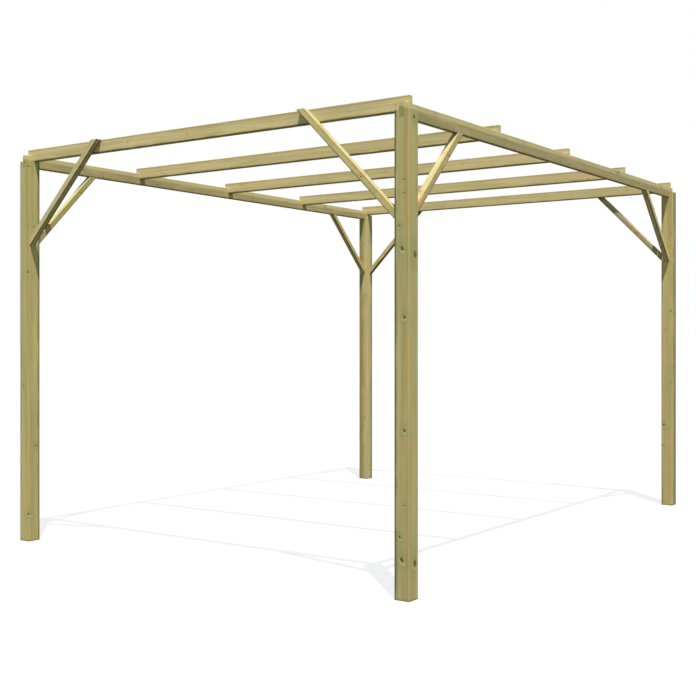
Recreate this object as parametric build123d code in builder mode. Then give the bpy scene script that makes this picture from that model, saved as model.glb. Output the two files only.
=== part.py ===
from build123d import *
import os

# Garden pergola of pressure-treated pine, in millimetres.
# Four square posts carry two beams that run from front to back, and five
# rafters lie across the beams. Eight diagonal braces stiffen the corners.
# X runs across the front, Y from front to back, Z up. The origin is on the
# ground, in the middle between the four posts.

# Overall size, over the outer faces of the posts
frame_width = 2514.0
frame_depth = 3374.0
post_height = 2080.0

# Timber sections
post_size = 74.0
beam_thickness = 28.0
beam_height = 66.0
rafter_thickness = 28.0
rafter_height = 66.0
brace_size = 32.0

# Radius of the rounded long edges of planed timber
post_edge = 3.0
beam_edge = 2.0
rafter_edge = 2.0
brace_edge = 2.0

# Joints
rafter_count = 5
slot_depth = 33.0        # how far a beam is let into the top of its posts
slot_clearance = 0.3     # free space on each side of a beam in its slot
notch_clearance = 0.3    # free space between a beam and the shoulder of a rafter's notch
brace_drop = 464.0       # from the top of a post down to the lower tips of its braces

# Heights that follow from the joints
beam_bottom = post_height - slot_depth
beam_top = beam_bottom + beam_height
rafter_bottom = post_height
rafter_top = rafter_bottom + rafter_height
brace_tip = post_height - brace_drop

# Places that follow from the sizes
post_x = (frame_width - post_size) / 2
post_y = (frame_depth - post_size) / 2
post_inner_x = post_x - post_size / 2
post_inner_y = post_y - post_size / 2
rafter_length = 2 * post_x + beam_thickness
end_rafter_y = post_y - rafter_thickness / 2
rafter_pitch = 2 * end_rafter_y / (rafter_count - 1)
rafter_brace_y = post_y + brace_size / 2

corners = {
    "front_left": (-1, -1),
    "front_right": (1, -1),
    "back_left": (-1, 1),
    "back_right": (1, 1),
}


def finish(part, name):
    part.label = name
    export_step(part, f"parts/{name}.step")


# A post is one square timber. The slot in its top takes the end of a beam
# and is open to the front, to the back and above.
def make_post(name, side, end):
    with BuildPart() as post:
        with BuildSketch(Plane.XY):
            with Locations((side * post_x, end * post_y)):
                RectangleRounded(post_size, post_size, post_edge)
        extrude(amount=post_height)
        with BuildSketch(Plane.XY.offset(beam_bottom)):
            with Locations((side * post_x, end * post_y)):
                Rectangle(beam_thickness + 2 * slot_clearance, post_size)
        extrude(amount=slot_depth, mode=Mode.SUBTRACT)
    finish(post.part, name)


# A beam lies in the slots of a front and a back post, with its ends flush
# with the posts' outer faces.
def make_beam(name, side):
    with BuildPart() as beam:
        with BuildSketch(Plane.XZ):
            with Locations((side * post_x, (beam_bottom + beam_top) / 2)):
                RectangleRounded(beam_thickness, beam_height, beam_edge)
        extrude(amount=frame_depth / 2, both=True)
    finish(beam.part, name)


# A rafter lies across both beams. It is notched from below over each beam
# and ends flush with the beam's outer face, so it has its full height only
# between the beams.
def make_rafter(name, place):
    notch_length = beam_thickness + notch_clearance
    notch_x = (rafter_length - notch_length) / 2
    with BuildPart() as rafter:
        with BuildSketch(Plane.YZ):
            with Locations((place, (rafter_bottom + rafter_top) / 2)):
                RectangleRounded(rafter_thickness, rafter_height, rafter_edge)
        extrude(amount=rafter_length / 2, both=True)
        with BuildSketch(Plane.XY.offset(rafter_bottom)):
            with Locations((-notch_x, place), (notch_x, place)):
                Rectangle(notch_length, rafter_thickness)
        extrude(amount=beam_top - rafter_bottom, mode=Mode.SUBTRACT)
    finish(rafter.part, name)


# A brace is a square bar at 45 degrees. Its plane passes through the middle
# of the bar's thickness, with its origin at the lower tip on the post's face,
# its X away from the post and its Y up. The bar runs as far sideways as it
# rises. It is cut upright against the post and level at its upper end.
def make_brace(name, plane, run):
    cut_width = brace_size * 2 ** 0.5
    middle = plane.from_local_coords(((run - cut_width / 2) / 2, (run + cut_width / 2) / 2))
    bar_plane = Plane(middle, x_dir=plane.z_dir, z_dir=plane.x_dir + plane.y_dir)
    with BuildPart() as brace:
        with BuildSketch(bar_plane):
            RectangleRounded(brace_size, brace_size, brace_edge)
        extrude(amount=run, both=True)
        split(bisect_by=Plane(plane.origin, z_dir=plane.x_dir), keep=Keep.TOP)
        split(bisect_by=Plane(plane.origin + run * plane.y_dir, z_dir=plane.y_dir), keep=Keep.BOTTOM)
    finish(brace.part, name)


os.makedirs("parts", exist_ok=True)

for corner, (side, end) in corners.items():
    make_post(f"post_{corner}", side, end)

make_beam("beam_left", -1)
make_beam("beam_right", 1)

for number in range(rafter_count):
    make_rafter(f"rafter_{number + 1}", number * rafter_pitch - end_rafter_y)

for corner, (side, end) in corners.items():
    # against the outer face of the end rafter, up to the rafter's top
    rafter_tip = (side * post_inner_x, end * rafter_brace_y, brace_tip)
    rafter_side = Plane(rafter_tip, x_dir=(-side, 0, 0), z_dir=(0, side, 0))
    make_brace(f"rafter_brace_{corner}", rafter_side, rafter_top - brace_tip)
    # in line with the beam, up to the beam's underside
    beam_tip = (side * post_x, end * post_inner_y, brace_tip)
    beam_line = Plane(beam_tip, x_dir=(0, -end, 0), z_dir=(-end, 0, 0))
    make_brace(f"beam_brace_{corner}", beam_line, beam_bottom - brace_tip)
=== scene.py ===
import math
import random

import bpy
from mathutils import Matrix, Vector


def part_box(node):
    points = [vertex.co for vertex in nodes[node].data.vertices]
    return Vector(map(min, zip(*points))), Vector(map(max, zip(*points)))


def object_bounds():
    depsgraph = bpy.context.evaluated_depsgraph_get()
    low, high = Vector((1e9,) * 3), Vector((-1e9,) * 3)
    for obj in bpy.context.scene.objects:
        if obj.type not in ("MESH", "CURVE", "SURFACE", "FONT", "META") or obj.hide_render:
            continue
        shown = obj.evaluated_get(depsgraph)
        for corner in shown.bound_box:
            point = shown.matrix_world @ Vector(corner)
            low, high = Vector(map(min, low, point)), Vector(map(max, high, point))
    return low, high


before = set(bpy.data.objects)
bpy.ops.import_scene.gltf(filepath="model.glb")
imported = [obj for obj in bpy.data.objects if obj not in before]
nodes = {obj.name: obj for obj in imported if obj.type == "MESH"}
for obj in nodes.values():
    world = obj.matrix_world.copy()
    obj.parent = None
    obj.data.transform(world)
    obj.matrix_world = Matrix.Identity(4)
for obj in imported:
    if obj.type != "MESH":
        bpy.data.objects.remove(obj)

cad_box = [list(corner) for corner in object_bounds()]

# The camera
# It stands in front of the right-hand front post, a little over a metre above the
# ground, and looks level, past that post, along the diagonal of the frame.
# The photograph keeps its uprights parallel, so the view is shifted and not tilted.
picture_size = 696.0
focal_pixels = 1117.7
horizon_pixel = 337.4
camera_place = (3.744, -5.688, 1.115)
camera_turn = math.radians(34.99)

camera_data = bpy.data.cameras.new("camera")
camera_data.sensor_width = 36.0
camera_data.lens = focal_pixels / picture_size * camera_data.sensor_width
camera_data.shift_y = (horizon_pixel - picture_size / 2) / picture_size
camera_data.clip_end = 200.0
camera = bpy.data.objects.new("camera", camera_data)
camera.location = camera_place
camera.rotation_euler = (math.radians(90), 0, camera_turn)
bpy.context.scene.collection.objects.link(camera)
bpy.context.scene.camera = camera
bpy.context.scene.view_settings.view_transform = "Standard"


# The light and the floor
# A high sun from the front right, and a sky that is brighter near the horizon than
# overhead. The floor glows white where it is seen and keeps faint shadows, and is dark
# to the light that bounces, as a lawn is.
sun_direction = Vector((0.25, -0.25, 1.0))
sun_strength = 7.5
sun_colour = (1.0, 0.91, 0.88)
sun_width = math.radians(0.8)
sky_low = (1.14, 1.46, 1.50, 1)
sky_high = (0.05, 0.06, 0.07, 1)
sky_falloff = 2.0
white = (1, 1, 1, 1)
floor_reach = 60.0
floor_shaded = (0.08, 0.08, 0.08, 1)
floor_bounce = (0.060, 0.048, 0.022, 1)
floor_glow = 0.85

sun_data = bpy.data.lights.new("sun", "SUN")
sun_data.energy = sun_strength
sun_data.color = sun_colour
sun_data.angle = sun_width
sun = bpy.data.objects.new("sun", sun_data)
sun.rotation_euler = sun_direction.to_track_quat("Z", "Y").to_euler()
bpy.context.scene.collection.objects.link(sun)


def attach(tree, value, socket):
    """Links a socket, or writes a plain value, into an input."""
    if isinstance(value, bpy.types.NodeSocket):
        tree.links.new(value, socket)
    else:
        socket.default_value = value


def add(tree, kind, inputs=None, **settings):
    """Adds a shader node, sets its properties and fills its inputs."""
    node = tree.nodes.new("ShaderNode" + kind)
    for name, value in settings.items():
        setattr(node, name, value)
    for name, value in (inputs or {}).items():
        attach(tree, value, node.inputs[name])
    return node


def calc(tree, operation, *values):
    """One step of arithmetic on numbers or on the numbers of other nodes."""
    node = add(tree, "Math", operation=operation)
    for value, socket in zip(values, node.inputs):
        attach(tree, value, socket)
    return node.outputs[0]


def seen_directly(tree):
    """1 for the rays that show a surface or its mirror image, 0 for those that light other things."""
    rays = add(tree, "LightPath").outputs
    mirrored = calc(tree, "MAXIMUM", rays["Is Glossy Ray"], rays["Is Transmission Ray"])
    return calc(tree, "MAXIMUM", rays["Is Camera Ray"], mirrored)


def mix_colour(tree, factor, first, second, blend="MIX"):
    """Blends from the first colour to the second."""
    node = add(tree, "Mix", data_type="RGBA", blend_type=blend)
    colours = [socket for socket in node.inputs if socket.type == "RGBA"]
    attach(tree, factor, node.inputs["Factor"])
    attach(tree, first, colours[0])
    attach(tree, second, colours[1])
    return next(socket for socket in node.outputs if socket.type == "RGBA")


sky = bpy.data.worlds.new("sky")
sky.use_nodes = True
sky_tree = sky.node_tree
sky_place = add(sky_tree, "TexCoord").outputs["Generated"]
height = add(sky_tree, "SeparateXYZ", {"Vector": sky_place}).outputs["Z"]
lowness = calc(sky_tree, "POWER", calc(sky_tree, "SUBTRACT", 1.0, height), sky_falloff)
daylight = mix_colour(sky_tree, lowness, sky_high, sky_low)
attach(sky_tree, mix_colour(sky_tree, seen_directly(sky_tree), daylight, white),
       sky_tree.nodes["Background"].inputs["Color"])
bpy.context.scene.world = sky

floor_mesh = bpy.data.meshes.new("floor")
floor_corners = [(x * floor_reach, y * floor_reach, cad_box[0][2])
                 for x, y in ((-1, -1), (1, -1), (1, 1), (-1, 1))]
floor_mesh.from_pydata(floor_corners, [], [(0, 1, 2, 3)])
floor = bpy.data.objects.new("floor", floor_mesh)
bpy.context.scene.collection.objects.link(floor)
floor_paint = bpy.data.materials.new("pale_floor")
floor_paint.use_nodes = True
floor_tree = floor_paint.node_tree
seen = seen_directly(floor_tree)
floor_shader = floor_tree.nodes["Principled BSDF"]
floor_shader.inputs["Specular IOR Level"].default_value = 0.0
floor_shader.inputs["Roughness"].default_value = 1.0
floor_shader.inputs["Emission Color"].default_value = white
floor_colour = mix_colour(floor_tree, seen, floor_bounce, floor_shaded)
attach(floor_tree, floor_colour, floor_shader.inputs["Base Color"])
glow = calc(floor_tree, "MULTIPLY", seen, floor_glow)
attach(floor_tree, glow, floor_shader.inputs["Emission Strength"])
floor_mesh.materials.append(floor_paint)


# The posts
# Square pressure-treated pine, sawn from the middle of small trees, so the pinkish
# heartwood shows along a face or two and the green-treated sapwood on the others.
# Each post stands on its sawn foot and is slotted at the top for the end of a beam.
def vector_calc(tree, operation, *values):
    """One step of arithmetic on vectors."""
    node = add(tree, "VectorMath", operation=operation)
    vectors = [socket for socket in node.inputs if socket.type == "VECTOR"]
    for value, socket in zip(values, vectors):
        attach(tree, value, socket)
    return node.outputs["Value" if operation in ("LENGTH", "DOT_PRODUCT") else "Vector"]


def smooth(tree, value, low, high, out_low=0.0, out_high=1.0):
    """A soft step of the value, from out_low to out_high."""
    node = add(tree, "MapRange", interpolation_type="SMOOTHSTEP")
    for socket, number in zip(node.inputs, (value, low, high, out_low, out_high)):
        attach(tree, number, socket)
    return node.outputs["Result"]


def noise(tree, vector, waves, detail=2.0, colour=False):
    """Soft noise whose waves are as long as waves says, in metres along each axis."""
    scaled = vector_calc(tree, "DIVIDE", vector, waves)
    node = add(tree, "TexNoise", {"Vector": scaled, "Scale": 1.0, "Detail": detail, "Roughness": 0.55})
    return node.outputs["Color" if colour else "Fac"]


middle_grey = (0.5, 0.5, 0.5)      # comes off a coloured noise, which then pushes to both sides
most_noise = (0.3, 0.7)            # most of a noise's values lie between these
wide_noise = (0.2, 0.8)            # and nearly all of them between these


def new_group(name, inputs, outputs):
    """A shader node group with its named sockets, ready to be filled."""
    group = bpy.data.node_groups.new(name, "ShaderNodeTree")
    for direction, sockets in (("INPUT", inputs), ("OUTPUT", outputs)):
        for socket, kind in sockets.items():
            group.interface.new_socket(socket, in_out=direction, socket_type="NodeSocket" + kind)
    return group, group.nodes.new("NodeGroupInput").outputs, group.nodes.new("NodeGroupOutput").inputs


def use_group(tree, group, **values):
    """Places a group. An input called Ring width is filled by the keyword ring_width."""
    node = add(tree, "Group", node_tree=group)
    for name, value in values.items():
        attach(tree, value, node.inputs[name.capitalize().replace("_", " ")])
    return node.outputs


def make_grain_group():
    """Growth rings round the tree's pith, with fibres and streaks along it. X runs with the grain."""
    pith_waves = (0.8, 50.0, 50.0)
    pith_wander = 0.016
    ring_waves = (0.35, 0.03, 0.03)
    ring_bend = 0.01
    faint_waves = (0.9, 0.018, 0.018)
    faintest_ring = 0.25
    fibre_waves = (0.09, 0.002, 0.002)
    streak_waves = (0.7, 0.02, 0.02)
    darkening = 2.4
    autumn_line = (1.0, 0.9)
    green_patch = (0.47, 0.68)
    blush_patch = (0.52, 0.72)
    group, given, result = new_group(
        "pine_grain",
        {"Vector": "Vector", "Pith": "Vector", "Ring width": "Float", "Patches": "Vector",
         "Swirl": "Float", "Seed": "Vector"},
        {"Radius": "Float", "Rings": "Float", "Fibres": "Float", "Streaks": "Float", "Green": "Float",
         "Blush": "Float"},
    )
    place = vector_calc(group, "ADD", given["Vector"], given["Seed"])
    # the pith wanders a few millimetres to each side along a timber
    wander = vector_calc(group, "SUBTRACT", noise(group, place, pith_waves, 1.0, True), middle_grey)
    wander = vector_calc(group, "MULTIPLY", wander, (0.0, pith_wander, pith_wander))
    across = vector_calc(group, "SUBTRACT", given["Vector"], given["Pith"])
    across = vector_calc(group, "MULTIPLY", vector_calc(group, "ADD", across, wander), (0.0, 1.0, 1.0))
    bend = calc(group, "SUBTRACT", noise(group, place, ring_waves), 0.5)
    radius = calc(group, "MULTIPLY_ADD", bend, ring_bend, vector_calc(group, "LENGTH", across))
    attach(group, radius, result["Radius"])
    # each year is pale in spring and darkens towards a sharp line in autumn
    year = calc(group, "DIVIDE", calc(group, "ADD", radius, given["Swirl"]), given["Ring width"])
    season = calc(group, "FRACT", year)
    late = calc(group, "POWER", season, darkening)
    late = calc(group, "MULTIPLY", late, smooth(group, season, *autumn_line))
    # the rings fade here and there
    shifted = vector_calc(group, "ADD", place, (0.4, 0.0, 0.0))
    uneven = smooth(group, noise(group, shifted, faint_waves, 1.0), *most_noise, faintest_ring, 1.0)
    attach(group, calc(group, "MULTIPLY", late, uneven), result["Rings"])
    attach(group, noise(group, place, fibre_waves), result["Fibres"])
    attach(group, noise(group, place, streak_waves), result["Streaks"])
    patches = noise(group, shifted, given["Patches"], 2.0, True)
    tints = add(group, "SeparateColor", {"Color": patches}).outputs
    attach(group, smooth(group, tints["Red"], *green_patch), result["Green"])
    attach(group, smooth(group, tints["Green"], *blush_patch), result["Blush"])
    return group


def make_knot_group():
    """A branch grown into the wood: its dark cross-section, the pale wood under it, and the
    tint and swirl round it. Branch is the way that it grew, outwards."""
    # where the branch starts and is whole, in metres inwards from the knot's face
    branch_start = -0.05
    branch_whole = -0.035
    # how far the marks reach from the branch's middle, in times its size
    rim_reach = (0.55, 0.85)
    pale_reach = (2.6, 1.3)
    under_reach = (0.0, 1.4)
    swirl_reach = 5.0
    tint_reach = (7.0, 1.5)
    # pale wood shows under the sharp knots only
    pale_softness = (0.65, 0.35)
    group, given, result = new_group(
        "branch_knot",
        {"Vector": "Vector", "Centre": "Vector", "Branch": "Vector", "Under": "Vector", "Size": "Float",
         "Softness": "Float"},
        {"Core": "Float", "Rim": "Float", "Pale": "Float", "Tint": "Float", "Swirl": "Float"},
    )
    offset = vector_calc(group, "SUBTRACT", given["Vector"], given["Centre"])
    reach = vector_calc(group, "DOT_PRODUCT", offset, given["Branch"])
    on_line = add(group, "VectorMath", {0: given["Branch"], "Scale": reach}, operation="SCALE")
    beside = vector_calc(group, "SUBTRACT", offset, on_line.outputs["Vector"])
    distance = calc(group, "DIVIDE", vector_calc(group, "LENGTH", beside), given["Size"])
    grown = smooth(group, reach, branch_start, branch_whole)
    outside = calc(group, "ADD", 1.0, given["Softness"])
    inside = calc(group, "SUBTRACT", 1.0, given["Softness"])
    core = calc(group, "MULTIPLY", smooth(group, distance, outside, inside), grown)
    clear = calc(group, "MAXIMUM", calc(group, "MULTIPLY_ADD", given["Softness"], -2.0, 1.0), 0.0)
    rim = calc(group, "MULTIPLY", smooth(group, distance, *rim_reach), clear)
    under = vector_calc(group, "DOT_PRODUCT", offset, given["Under"])
    under = calc(group, "DIVIDE", under, given["Size"])
    pale = smooth(group, distance, *pale_reach)
    pale = calc(group, "MULTIPLY", pale, smooth(group, under, *under_reach))
    pale = calc(group, "MULTIPLY", pale, smooth(group, given["Softness"], *pale_softness))
    curve = calc(group, "POWER", smooth(group, distance, swirl_reach, 0.0), 2.0)
    curve = calc(group, "MULTIPLY", curve, given["Size"])
    attach(group, core, result["Core"])
    attach(group, calc(group, "MULTIPLY", rim, core), result["Rim"])
    attach(group, calc(group, "MULTIPLY", pale, grown), result["Pale"])
    attach(group, calc(group, "MULTIPLY", smooth(group, distance, *tint_reach), grown), result["Tint"])
    attach(group, calc(group, "MULTIPLY", curve, grown), result["Swirl"])
    return group


def make_arris_group():
    """The long edges of a squared timber, from 0 on its faces to 1 where they are worn."""
    wear_waves = (0.06, 0.03, 0.03)
    widths = (0.0015, 0.005)
    group, given, result = new_group(
        "worn_arris", {"Vector": "Vector", "Half size": "Vector", "Seed": "Vector"}, {"Wear": "Float"})
    out = vector_calc(group, "ABSOLUTE", given["Vector"])
    inside = vector_calc(group, "SUBTRACT", given["Half size"], out)
    depth = add(group, "SeparateXYZ", {"Vector": inside}).outputs
    edge = calc(group, "MAXIMUM", depth["Y"], depth["Z"])
    place = vector_calc(group, "ADD", given["Vector"], given["Seed"])
    width = smooth(group, noise(group, place, wear_waves, 3.0), *most_noise, *widths)
    attach(group, smooth(group, edge, width, 0.0), result["Wear"])
    return group


def make_check_group():
    """A drying check: a thin crack that runs out from the pith in one direction and comes and
    goes along the timber."""
    crack_start = (0.005, 0.02)
    wiggle_waves = (0.05, 0.02, 0.02)
    wiggle_depth = 0.003
    opening_waves = (0.45, 9.0, 9.0)
    open_stretch = (0.5, 0.66)
    widest = 0.0009
    crack_edge = (1.0, 0.6)
    group, given, result = new_group(
        "drying_check", {"Vector": "Vector", "Pith": "Vector", "Outwards": "Vector", "Seed": "Vector"},
        {"Crack": "Float"})
    place = vector_calc(group, "ADD", given["Vector"], given["Seed"])
    wiggle = noise(group, place, wiggle_waves, 3.0, True)
    wiggle = vector_calc(group, "SUBTRACT", wiggle, middle_grey)
    wiggle = vector_calc(group, "MULTIPLY", wiggle, (0.0, wiggle_depth, wiggle_depth))
    offset = vector_calc(group, "SUBTRACT", given["Vector"], given["Pith"])
    offset = vector_calc(group, "ADD", offset, wiggle)
    sideways = vector_calc(group, "CROSS_PRODUCT", given["Outwards"], (1.0, 0.0, 0.0))
    beside = calc(group, "ABSOLUTE", vector_calc(group, "DOT_PRODUCT", offset, sideways))
    out = smooth(group, vector_calc(group, "DOT_PRODUCT", offset, given["Outwards"]), *crack_start)
    opening = smooth(group, noise(group, place, opening_waves, 3.0), *open_stretch, 0.0, widest)
    crack = calc(group, "DIVIDE", beside, calc(group, "MAXIMUM", opening, 0.00001))
    attach(group, calc(group, "MULTIPLY", smooth(group, crack, *crack_edge), out), result["Crack"])
    return group


def make_edge_shade_and_stain_group():
    """The dark band along one long edge of a timber: painted shade where a rounded edge turns away from
    the light or under the timber, and a real stain along some upper edges. Line is where the edge is,
    beside the timber's middle."""
    edge_band_waves = (0.12, 0.03, 0.03)
    reaches = (0.75, 1.25)
    fade = (1.0, 0.35)
    group, given, result = new_group(
        "stained_arris", {"Vector": "Vector", "Line": "Vector", "Reach": "Float", "Seed": "Vector"},
        {"Stain": "Float"})
    offset = vector_calc(group, "SUBTRACT", given["Vector"], given["Line"])
    distance = vector_calc(group, "LENGTH", vector_calc(group, "MULTIPLY", offset, (0.0, 1.0, 1.0)))
    place = vector_calc(group, "ADD", given["Vector"], given["Seed"])
    uneven = smooth(group, noise(group, place, edge_band_waves), *most_noise, *reaches)
    share = calc(group, "DIVIDE", distance, calc(group, "MULTIPLY", given["Reach"], uneven))
    attach(group, smooth(group, share, *fade), result["Stain"])
    return group


grain_group = make_grain_group()
knot_group = make_knot_group()
arris_group = make_arris_group()
check_group = make_check_group()
edge_shade_and_stain_group = make_edge_shade_and_stain_group()


def paint(red, green, blue):
    """A colour as the eye reads it, 0 to 255, in the linear values that a shader takes."""
    values = [value / 255 for value in (red, green, blue)]
    return [v / 12.92 if v <= 0.04045 else ((v + 0.055) / 1.055) ** 2.4 for v in values] + [1]


knot_heart = paint(100, 92, 50)
knot_rim = paint(66, 58, 27)
knot_pale = paint(198, 190, 136)
sharp_knot = 0.12        # how soft the edge of a plain knot is
slanted_size = 0.008     # knots of this size or more are cut at a full slant
ragged_waves = (0.02, 0.008, 0.008)
ragged_depth = (0.005, 0.003, 0.003)
arris_pale = paint(188, 179, 130)
# painted shade along edges that turn away from the light, under some bars and at the foot of the posts,
# and a real stain along the upper edges of rafters and bars
shade_and_stain_dark = paint(106, 105, 62)
crack_dark = paint(52, 42, 24)
end_green = paint(150, 146, 92)
painted_top_shade = (0.60, 0.66, 0.68, 1)     # painted shade: how much of its colour an upper face keeps, so that it looks less lit from above
top_shade_facing = (0.3, 1.1)               # how far a face has to look up for that
sawn_face = (0.6, 0.8)                # how far it has to look along the timber to be a sawn end

# how strongly each mark covers the wood
tint_strength = 0.6
pale_strength = 0.7
wear_strength = 0.4
foot_shade_strength = 0.8

# how much the growth rings, the fibres and the streaks darken and lighten the wood
spring_shade = 1.04
fibre_shades = (0.94, 1.06)
streak_shades = (0.9, 1.08)

# the finish of planed softwood
roughnesses = (0.70, 0.86)
specular_level = 0.12
bump_distance = 0.0004
bump_strength = 0.6
ring_relief = 0.5
fibre_relief = 0.6
crack_relief = -3.0


def timber_place(node, along, up):
    """The turn from the world to a timber's own axes, its size along them, and its middle."""
    low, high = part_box(node.name)
    along = Vector(along).normalized()
    up = Vector(up).normalized()
    turn = Matrix((along, up.cross(along), up))
    size = Vector([sum(abs(axis[i]) * (high[i] - low[i]) for i in range(3)) for axis in turn])
    middle = (low + high) / 2
    if abs(along.z) not in (0.0, 1.0):
        # the lower face of a square diagonal bar runs from corner to corner of its box
        size.z = size.y
        middle += up * size.z / 2
    return turn, size, middle


def knot_marks(tree, place, size, wood, knots):
    """The marks of all the knots of a timber, the strongest at each place."""
    along = Vector((1.0, 0.0, 0.0))
    marks = {"Core": 0.0, "Rim": 0.0, "Pale": 0.0, "Tint": 0.0, "Swirl": 0.0}
    for x, y, z, knot_size, softness in knots:
        slant = min(1.0, knot_size / slanted_size) * (1 - softness)
        out = Vector((0.0, y / size.y, z / size.z)).normalized()
        lean = along.cross(out) * wood["knot_lean"] * slant
        branch = (out + lean + along * wood["knot_rise"] * slant).normalized()
        under = (lean - along).normalized()
        knot = use_group(tree, knot_group, vector=place, centre=(x, y, z), branch=branch, under=under,
                         size=knot_size, softness=softness)
        for mark in marks:
            marks[mark] = calc(tree, "MAXIMUM", marks[mark], knot[mark])
    return marks


def cover(tree, colour, mask, strength, other):
    """Lays another colour over this one where the mask is. At strength 1 it hides it."""
    return mix_colour(tree, calc(tree, "MULTIPLY", mask, strength), colour, other)


def timber_material(node, along, up, wood, pith, knots, edge_shades_and_stains=(), tone=(1.0, 1.0, 1.0), crack=None,
                    painted_foot_shade=None):
    """Treated pine for one timber, with the grain along it. Its local X runs along it and Z up.

    wood has the colours and the rings, pith is where the tree's middle lay beside the middle
    of the timber, and knots are (x, y, z, size, softness). edge_shades_and_stains are the dark
    long edges, painted shade where an edge turns away from the light and a real stain along upper
    edges, each (y, z, reach, strength) with -1 or 1 for the side. tone lightens or tints the wood, and
    crack points from the pith. painted_foot_shade is how high the painted shade at the foot reaches.
    """
    turn, size, middle = timber_place(node, along, up)
    chance = random.Random(node.name)
    seed = [chance.uniform(0, 40) for axis in range(3)]

    material = bpy.data.materials.new("pine_" + node.name)
    material.use_nodes = True
    tree = material.node_tree
    where = add(tree, "TexCoord").outputs
    local = add(tree, "Mapping", {"Vector": where["Object"], "Location": -(turn @ middle),
                                  "Rotation": turn.to_euler("XYZ")}).outputs["Vector"]

    # the edges of the knots and of the painted shade at the foot are ragged
    ragged = vector_calc(tree, "SUBTRACT", noise(tree, local, ragged_waves, 2.0, True), middle_grey)
    ragged = vector_calc(tree, "MULTIPLY", ragged, ragged_depth)
    ragged = vector_calc(tree, "ADD", local, ragged)
    marks = knot_marks(tree, ragged, size, wood, knots)
    grain = use_group(tree, grain_group, vector=local, pith=(0, *pith), ring_width=wood["ring_width"],
                      patches=wood["patches"], swirl=marks["Swirl"], seed=seed)
    wear = use_group(tree, arris_group, vector=local, half_size=size / 2, seed=seed)["Wear"]
    facing = calc(tree, "ABSOLUTE", vector_calc(tree, "DOT_PRODUCT", where["Normal"], turn[0]))
    sawn_end = smooth(tree, facing, *sawn_face)
    upward = vector_calc(tree, "DOT_PRODUCT", where["Normal"], (0.0, 0.0, 1.0))

    # the wood itself
    heart = smooth(tree, grain["Radius"], wood["heart_radius"] + wood["heart_edge"],
                   wood["heart_radius"] - wood["heart_edge"])
    colour = mix_colour(tree, heart, wood["sapwood"], wood["heartwood"])
    colour = cover(tree, colour, grain["Green"], wood["greenness"], wood["green"])
    colour = cover(tree, colour, grain["Blush"], wood["pinkness"], wood["blush"])
    colour = cover(tree, colour, marks["Tint"], tint_strength, wood["knot_tint"])
    colour = cover(tree, colour, sawn_end, heart, end_green)
    ring_shade = smooth(tree, grain["Rings"], 0.0, 1.0, spring_shade, wood["ring_shade"])
    fibre_shade = smooth(tree, grain["Fibres"], *wide_noise, *fibre_shades)
    streak_shade = smooth(tree, grain["Streaks"], *most_noise, *streak_shades)
    shade = calc(tree, "MULTIPLY", calc(tree, "MULTIPLY", ring_shade, fibre_shade), streak_shade)
    shades = [calc(tree, "MULTIPLY", shade, channel) for channel in tone]
    shading = add(tree, "CombineColor", dict(enumerate(shades))).outputs[0]
    colour = mix_colour(tree, 1.0, colour, shading, "MULTIPLY")

    # painted shade on the upper faces, pale worn edges, dark long edges that are partly painted shade
    # and partly stain, and painted shade at the foot
    # painted shade: the more a face looks up, the darker and slightly greener it is painted
    colour = mix_colour(tree, smooth(tree, upward, *top_shade_facing), colour, painted_top_shade, "MULTIPLY")
    colour = cover(tree, colour, wear, wear_strength, arris_pale)
    # dark long edges: painted shade where an edge turns away from the light or under a timber, and a
    # real stain along upper edges
    for y, z, reach, strength in edge_shades_and_stains:
        line = (0, y * size.y / 2, z * size.z / 2)
        edge_darkening = use_group(tree, edge_shade_and_stain_group, vector=local, line=line, reach=reach, seed=seed)
        colour = cover(tree, colour, edge_darkening["Stain"], strength, shade_and_stain_dark)
    # painted shade: the foot of a post is darkened a little way up from the floor
    if painted_foot_shade:
        height = add(tree, "SeparateXYZ", {"Vector": ragged}).outputs["X"]
        foot_shade = smooth(tree, calc(tree, "ADD", height, size.x / 2), painted_foot_shade, 0.0)
        colour = cover(tree, colour, foot_shade, foot_shade_strength, shade_and_stain_dark)

    # the knots, with pale wood under them
    colour = cover(tree, colour, marks["Pale"], pale_strength, knot_pale)
    knot_colour = mix_colour(tree, marks["Rim"], knot_heart, knot_rim)
    colour = mix_colour(tree, marks["Core"], colour, knot_colour)

    # the raised grain, and the drying crack
    fibre_height = calc(tree, "MULTIPLY", grain["Fibres"], fibre_relief)
    relief = calc(tree, "MULTIPLY_ADD", grain["Rings"], ring_relief, fibre_height)
    if crack:
        check = use_group(tree, check_group, vector=local, pith=(0, *pith), outwards=(0, *crack),
                          seed=seed)["Crack"]
        colour = mix_colour(tree, check, colour, crack_dark)
        relief = calc(tree, "MULTIPLY_ADD", check, crack_relief, relief)
    bump = add(tree, "Bump", {"Height": relief, "Distance": bump_distance, "Strength": bump_strength})

    shader = tree.nodes["Principled BSDF"]
    attach(tree, colour, shader.inputs["Base Color"])
    roughness = smooth(tree, grain["Fibres"], *wide_noise, *roughnesses)
    attach(tree, roughness, shader.inputs["Roughness"])
    attach(tree, bump.outputs["Normal"], shader.inputs["Normal"])
    shader.inputs["Specular IOR Level"].default_value = specular_level
    node.data.materials.clear()
    node.data.materials.append(material)


post_wood = {
    "sapwood": paint(169, 161, 112), "heartwood": paint(167, 152, 100), "green": paint(154, 153, 102),
    "blush": paint(174, 153, 106), "heart_radius": 0.022, "heart_edge": 0.006, "ring_width": 0.0045,
    "ring_shade": 0.89, "patches": (0.3, 0.06, 0.06), "greenness": 0.4, "pinkness": 0.4,
    "knot_rise": 1.6, "knot_lean": -0.8, "knot_tint": paint(150, 148, 96),
}
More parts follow.
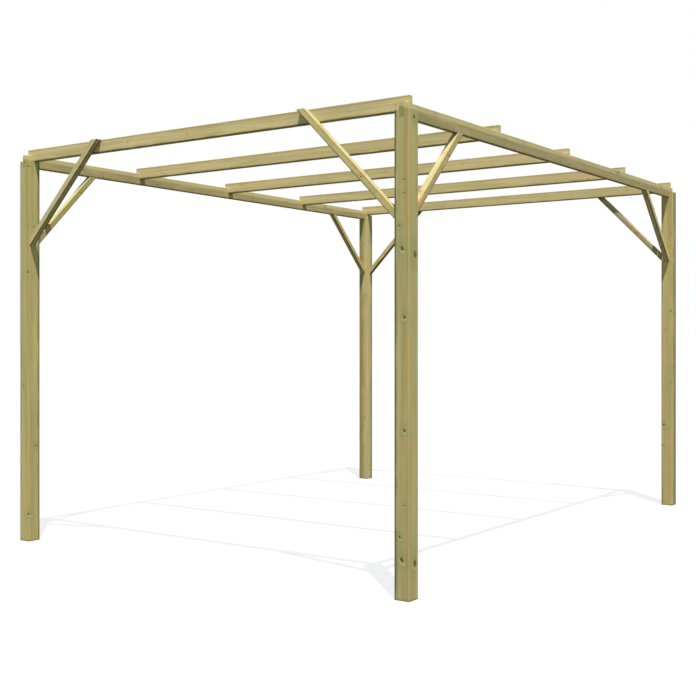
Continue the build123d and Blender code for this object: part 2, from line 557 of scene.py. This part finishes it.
# (height, sideways, size, softness), on the face towards the camera and on the one to its right
front_knots = {
    "post_front_right": (
        (1.782, 0.013, 0.0035, 0.15), (1.724, 0.013, 0.0035, 0.15), (1.588, -0.010, 0.004, 0.2),
        (1.491, 0.003, 0.0068, 0.12), (1.200, 0.014, 0.0062, 0.35), (0.721, 0.014, 0.0062, 0.35),
        (0.404, 0.014, 0.0035, 0.15), (0.269, -0.010, 0.005, 0.3), (0.174, 0.001, 0.0072, 0.12),
    ),
    "post_front_left": (
        (2.049, 0.032, 0.005, 0.3), (1.472, 0.028, 0.006, 0.3), (0.850, -0.008, 0.004, 0.2),
        (0.151, 0.032, 0.006, 0.3),
    ),
}
side_knots = {
    "post_front_right": (
        (2.050, 0.003, 0.0075, 0.5), (2.034, 0.002, 0.004, 0.4), (1.468, 0.012, 0.012, 0.55),
        (0.156, 0.010, 0.012, 0.5),
    ),
    "post_front_left": ((1.720, -0.004, 0.004, 0.2), (0.520, 0.006, 0.005, 0.2)),
}
# where the pith of each post lay, sideways and from front to back
post_piths = {"front_right": (0.021, -0.021), "front_left": (0.026, -0.022),
              "back_right": (0.010, -0.018), "back_left": (-0.022, -0.030)}
post_tones = {"front_right": (1.01, 1.03, 1.02), "front_left": (1.10, 1.11, 1.03),
              "back_right": (1.13, 1.06, 1.02), "back_left": (1.22, 1.14, 1.13)}
# painted shade along the edges of each post that turn away from the light
post_edge_shades = {
    "front_right": ((-1, -1, 0.015, 1.0),),
    "front_left": ((-1, -1, 0.011, 1.0), (1, 1, 0.020, 0.7)),
    "back_right": ((-1, -1, 0.010, 0.8), (1, 1, 0.070, 0.7)),
    "back_left": ((-1, -1, 0.050, 0.55), (1, 1, 0.036, 0.6)),
}
crack_way = (-0.3, 0.95)      # which way the crack runs from the pith
# how high the painted shade at the foot of each post reaches
foot_shade_height = 0.011

# the knots that are placed by chance
knotty_share = 0.8            # how much of a face's width has knots
chance_sizes = (0.002, 0.006)
front_count = 6
side_count = 3
hidden_count = 2


def chance_knots(chance, count, low, high, half):
    """Knots of a face that the photograph doesn't show closely."""
    knots = []
    for knot in range(count):
        height = chance.uniform(low, high)
        sideways = chance.uniform(-knotty_share, knotty_share) * half
        knots.append((height, sideways, chance.uniform(*chance_sizes), sharp_knot))
    return knots


for corner in ("front_left", "front_right", "back_left", "back_right"):
    post = nodes["post_" + corner]
    low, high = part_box(post.name)
    middle_height = (low.z + high.z) / 2
    half = (high.x - low.x) / 2
    chance = random.Random(corner)
    fronts = front_knots.get(post.name) or chance_knots(chance, front_count, low.z, high.z, half)
    sides = side_knots.get(post.name) or chance_knots(chance, side_count, low.z, high.z, half)
    lefts = chance_knots(chance, hidden_count, low.z, high.z, half)
    backs = chance_knots(chance, hidden_count, low.z, high.z, half)
    knots = [(height - middle_height, sideways, -half, *form) for height, sideways, *form in fronts]
    knots += [(height - middle_height, half, sideways, *form) for height, sideways, *form in sides]
    knots += [(height - middle_height, -half, sideways, *form) for height, sideways, *form in lefts]
    knots += [(height - middle_height, sideways, half, *form) for height, sideways, *form in backs]
    timber_material(post, (0, 0, 1), (0, 1, 0), post_wood, post_piths[corner], knots,
                    post_edge_shades[corner], post_tones[corner], crack_way, foot_shade_height)


# The beams
# Two boards on edge, let into the tops of the posts, flush with their outer faces.
# They were sawn from beside the pith, so the heartwood darkens their lower part.
def scattered_knots(name, count, half_length, half_y, half_z, smallest, largest):
    """Places for knots on the wide faces of a board, the same each time for one name."""
    chance = random.Random(name)
    spots = []
    for place in range(count):
        along = ((place + chance.random()) / count * 2 - 1) * half_length
        side = chance.choice((-1, 1)) * half_y
        rise = chance.uniform(-knotty_share, knotty_share) * half_z
        spots.append((along, side, rise, chance.uniform(smallest, largest), sharp_knot))
    return spots


beam_wood = {
    "sapwood": paint(188, 178, 128), "heartwood": paint(153, 142, 99), "green": paint(168, 164, 112),
    "blush": paint(186, 164, 122), "heart_radius": 0.046, "heart_edge": 0.004, "ring_width": 0.004,
    "ring_shade": 0.82, "patches": (0.2, 0.05, 0.05), "greenness": 0.35, "pinkness": 0.5,
    "knot_rise": 0.6, "knot_lean": 0.0, "knot_tint": paint(156, 136, 94),
}
beam_pith = (0.004, -0.034)
beam_knot_count = 7
beam_knot_sizes = (0.003, 0.006)
beam_tones = {"left": (1.06, 1.07, 1.06), "right": (0.96, 0.96, 0.97)}
# painted shade along the left beam's lower edges
beam_edge_shades = {"left": ((-1, -1, 0.008, 0.9), (1, -1, 0.008, 0.9)), "right": ()}
for side in ("left", "right"):
    beam = nodes["beam_" + side]
    low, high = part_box(beam.name)
    half = (high - low) / 2
    knots = scattered_knots(beam.name, beam_knot_count, half.y, half.x, half.z, *beam_knot_sizes)
    timber_material(beam, (0, 1, 0), (0, 0, 1), beam_wood, beam_pith, knots, beam_edge_shades[side],
                    beam_tones[side])


# The rafters
# Five boards on edge across the beams, notched over them. They are pale sapwood,
# with the green of the treatment in patches, painted shade along their lower edges
# and a faint real stain along their upper ones.
rafter_wood = {
    "sapwood": paint(196, 181, 131), "heartwood": paint(186, 168, 120), "green": paint(178, 171, 117),
    "blush": paint(198, 172, 125), "heart_radius": 0.03, "heart_edge": 0.005, "ring_width": 0.005,
    "ring_shade": 0.86, "patches": (0.3, 0.06, 0.06), "greenness": 0.6, "pinkness": 0.4,
    "knot_rise": 0.6, "knot_lean": 0.0, "knot_tint": paint(192, 164, 116),
}
rafter_count = 5
rafter_pith = (0.055, -0.02)
rafter_knot_count = 3
rafter_knot_sizes = (0.002, 0.0035)
# painted shade along the lower edges, a faint real stain along the upper ones
rafter_edge_shades_and_stains = ((-1, -1, 0.009, 1.0), (-1, 1, 0.018, 0.27), (1, -1, 0.009, 1.0), (1, 1, 0.018, 0.27))
for number in range(1, rafter_count + 1):
    rafter = nodes[f"rafter_{number}"]
    low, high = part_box(rafter.name)
    half = (high - low) / 2
    knots = scattered_knots(rafter.name, rafter_knot_count, half.x, half.y, half.z, *rafter_knot_sizes)
    timber_material(rafter, (1, 0, 0), (0, 0, 1), rafter_wood, rafter_pith, knots, rafter_edge_shades_and_stains)


# The braces
# Square bars at 45 degrees, mitred to the posts. Those of the end rafters lie on the
# rafters' outer faces, and those of the beams stand under the beams.
brace_wood = {
    "sapwood": paint(184, 178, 126), "heartwood": paint(163, 151, 103), "green": paint(158, 160, 104),
    "blush": paint(206, 168, 118), "heart_radius": 0.026, "heart_edge": 0.004, "ring_width": 0.0035,
    "ring_shade": 0.82, "patches": (0.07, 0.025, 0.025), "greenness": 0.6, "pinkness": 0.75,
    "knot_rise": 0.8, "knot_lean": 0.0, "knot_tint": paint(186, 136, 76),
}
# where the pith lay, beside the middle of each bar
common_brace_pith = (0.03, -0.02)
brace_piths = {
    "rafter_brace_front_right": (-0.03, -0.02), "beam_brace_front_right": (-0.022, -0.012),
    "beam_brace_front_left": (-0.022, -0.012),
}
brace_tones = {
    "rafter_brace_front_right": (1.03, 0.98, 0.97), "rafter_brace_front_left": (1.08, 1.06, 1.18),
    "beam_brace_front_right": (1.14, 1.13, 1.15), "beam_brace_front_left": (1.07, 1.09, 1.05),
    "rafter_brace_back_right": (0.90, 0.88, 0.98), "rafter_brace_back_left": (1.1, 1.1, 1.08),
    "beam_brace_back_right": (1.25, 1.22, 1.38), "beam_brace_back_left": (1.12, 1.14, 1.15),
}
# (along, y, z, size) on a bar whose upper face is at +z
brace_knots = {
    "rafter_brace_front_right": ((-0.10, -0.016, 0.0, 0.004), (0.22, 0.0, 0.016, 0.003)),
    "rafter_brace_front_left": ((0.07, 0.0, -0.016, 0.003), (0.18, -0.006, -0.016, 0.0035)),
    "beam_brace_front_right": ((-0.03, -0.016, 0.004, 0.003), (0.13, -0.016, -0.004, 0.0045),
                               (-0.22, -0.004, 0.016, 0.0042), (-0.15, 0.006, 0.016, 0.0034)),
    "rafter_brace_back_right": ((-0.10, 0.016, 0.002, 0.0045), (-0.04, 0.016, -0.004, 0.003)),
}
common_brace_knots = (
    (-0.16, 0.0, 0.016, 0.005), (-0.03, 0.016, 0.006, 0.003), (0.15, -0.016, -0.004, 0.0045),
)
# painted shade along the lower edges of the bars, a faint real stain along the upper ones
brace_edge_shades_and_stains = [(-1, -1, 0.007, 0.8), (-1, 1, 0.012, 0.18), (1, -1, 0.007, 0.8), (1, 1, 0.012, 0.18)]
# painted shade under the back left rafter brace
painted_underside_shades = {"rafter_brace_back_left": [(1, -1, 0.045, 1.0)]}
rise = Vector((0, 0, 1))
for side_name, side in (("left", -1), ("right", 1)):
    for end_name, end in (("front", -1), ("back", 1)):
        corner = f"{end_name}_{side_name}"
        for name, outwards in (("rafter_brace_", (side, 0, 0)), ("beam_brace_", (0, end, 0))):
            brace = nodes[name + corner]
            out = Vector(outwards)
            pith = brace_piths.get(brace.name, common_brace_pith)
            places = brace_knots.get(brace.name, common_brace_knots)
            knots = [(*place, sharp_knot) for place in places]
            edge_shades_and_stains = brace_edge_shades_and_stains + painted_underside_shades.get(brace.name, [])
            timber_material(brace, rise - out, rise + out, brace_wood, pith, knots, edge_shades_and_stains,
                            brace_tones[brace.name])
